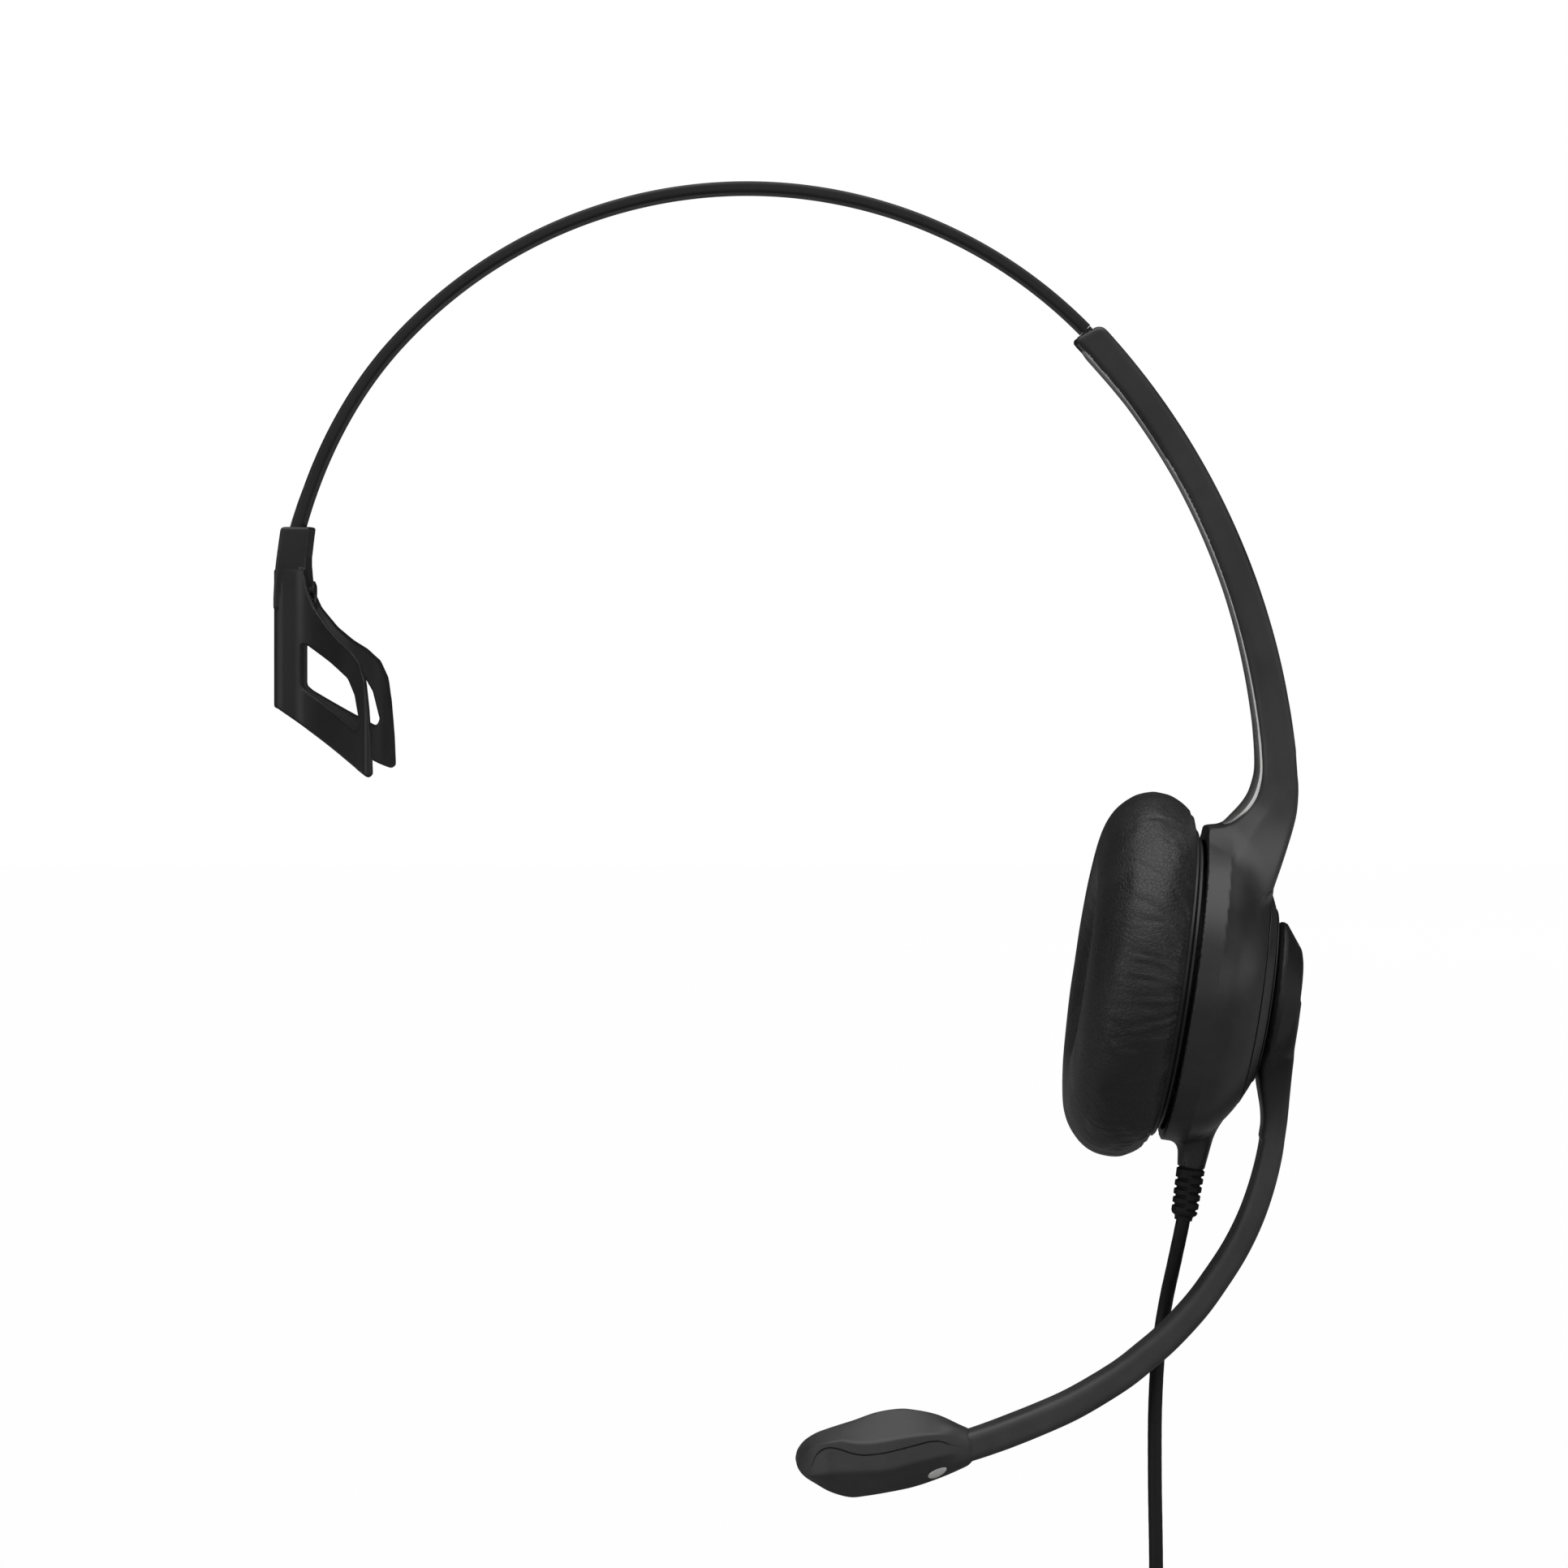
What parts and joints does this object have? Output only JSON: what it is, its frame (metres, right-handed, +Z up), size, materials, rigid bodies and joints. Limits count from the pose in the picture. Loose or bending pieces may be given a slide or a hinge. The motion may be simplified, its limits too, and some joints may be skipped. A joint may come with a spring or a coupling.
{
  "type": "monaural headset",
  "caption": "Over-the-head office headset with a spring headband, horseshoe temple rest, sliding cup arm, leatherette ear cushion, ribbed cable exit and a swinging microphone boom.",
  "frame": {"origin": "underside of the headband at its apex, where it rests on the crown of the head", "axes": "+Z up, +X towards the ear cup, +Y through the depth; the cup axis leans 8.5 degrees down from +X"},
  "size_m": [0.1808, 0.0648, 0.3113],
  "materials": {
    "band_plastic": "satin black injection-moulded nylon",
    "shell_plastic": "satin black ABS, fine spark texture",
    "rest_plastic": "satin black soft-touch elastomer",
    "boom_plastic": "satin black flexible plastic",
    "mic_plastic": "satin black ABS",
    "polished_trim": "polished metal strip",
    "spring_steel": "tempered strip, brushed",
    "steel": "zinc-plated steel",
    "leatherette": "black leatherette with fine grain",
    "foam": "soft polyurethane foam",
    "scrim_cloth": "thin acoustic cloth",
    "relief_rubber": "black ribbed elastomer",
    "cable_rubber": "matt black cable jacket",
    "internal_plastic": "unpainted grey-black moulding",
    "low_friction": "natural acetal",
    "magnet_grey": "nickel-plated magnet and yoke",
    "copper_wire": "enamelled copper",
    "clear_film": "thin polyester film",
    "board_green": "circuit laminate",
    "marker_silver": "light silver position dot",
    "contact_gold": "gold-plated contact"
  },
  "bodies": {
    "headband": {"headband_sleeve": "band_plastic", "headband_spring": "spring_steel", "slider_rail": "band_plastic", "temple_socket": "shell_plastic", "temple_rest": "rest_plastic", "temple_rivet": "steel"},
    "arm": {"arm_housing": "shell_plastic", "arm_inner_cover": "shell_plastic", "arm_screws": "steel", "arm_trim_strip": "polished_trim", "detent_spring": "spring_steel", "outer_cap": "shell_plastic", "pivot_bush": "low_friction", "strain_relief": "relief_rubber", "limiter_board": "board_green", "board_parts": "internal_plastic", "gimbal_pins": "steel", "cable_jacket": "cable_rubber", "plug_boot": "relief_rubber", "plug_grip": "shell_plastic", "plug_sleeve_contact": "contact_gold", "plug_insulator_rear": "internal_plastic", "plug_ring_rear": "contact_gold", "plug_insulator_middle": "internal_plastic", "plug_ring_front": "contact_gold", "plug_insulator_front": "internal_plastic", "plug_tip_contact": "contact_gold"},
    "gimbal": {"gimbal_ring": "low_friction"},
    "earpiece": {"speaker_baffle": "internal_plastic", "baffle_pins": "steel", "driver_frame": "internal_plastic", "driver_yoke": "magnet_grey", "driver_magnet": "magnet_grey", "voice_coil": "copper_wire", "driver_diaphragm": "clear_film", "acoustic_scrim": "scrim_cloth", "cushion_ring": "internal_plastic", "ear_cushion": "leatherette", "cushion_foam": "foam"},
    "boom": {"boom_arm": "boom_plastic", "boom_wires": "copper_wire", "pivot_axle": "steel", "boom_pivot_cap": "boom_plastic", "friction_washer": "low_friction", "wave_washer": "spring_steel", "axle_clip": "steel", "mic_shell_upper": "mic_plastic", "mic_shell_lower": "mic_plastic", "mic_capsule": "steel", "mic_boot": "relief_rubber", "mic_marker": "marker_silver"}
  },
  "joints": [
    {"name": "band_slide", "type": "hinge", "parent": "headband", "child": "arm", "pos_m": [-0.0325, 0, -0.1101], "axis": [0, 1, 0], "range_deg": [0, 13]},
    {"name": "ear_swivel", "type": "hinge", "parent": "arm", "child": "gimbal", "pos_m": [0.07989, 0, -0.13939], "axis": [0.1478, 0, 0.989], "range_deg": [-2, 2]},
    {"name": "ear_tilt", "type": "hinge", "parent": "gimbal", "child": "earpiece", "pos_m": [0.07989, 0, -0.13939], "axis": [0, 1, 0], "range_deg": [-2, 2]},
    {"name": "boom_swing", "type": "hinge", "parent": "arm", "child": "boom", "pos_m": [0.07564, 0, -0.13875], "axis": [0.989, 0, -0.1478], "range_deg": [-130, 130], "deforming": ["cable_jacket"]}
  ]
}
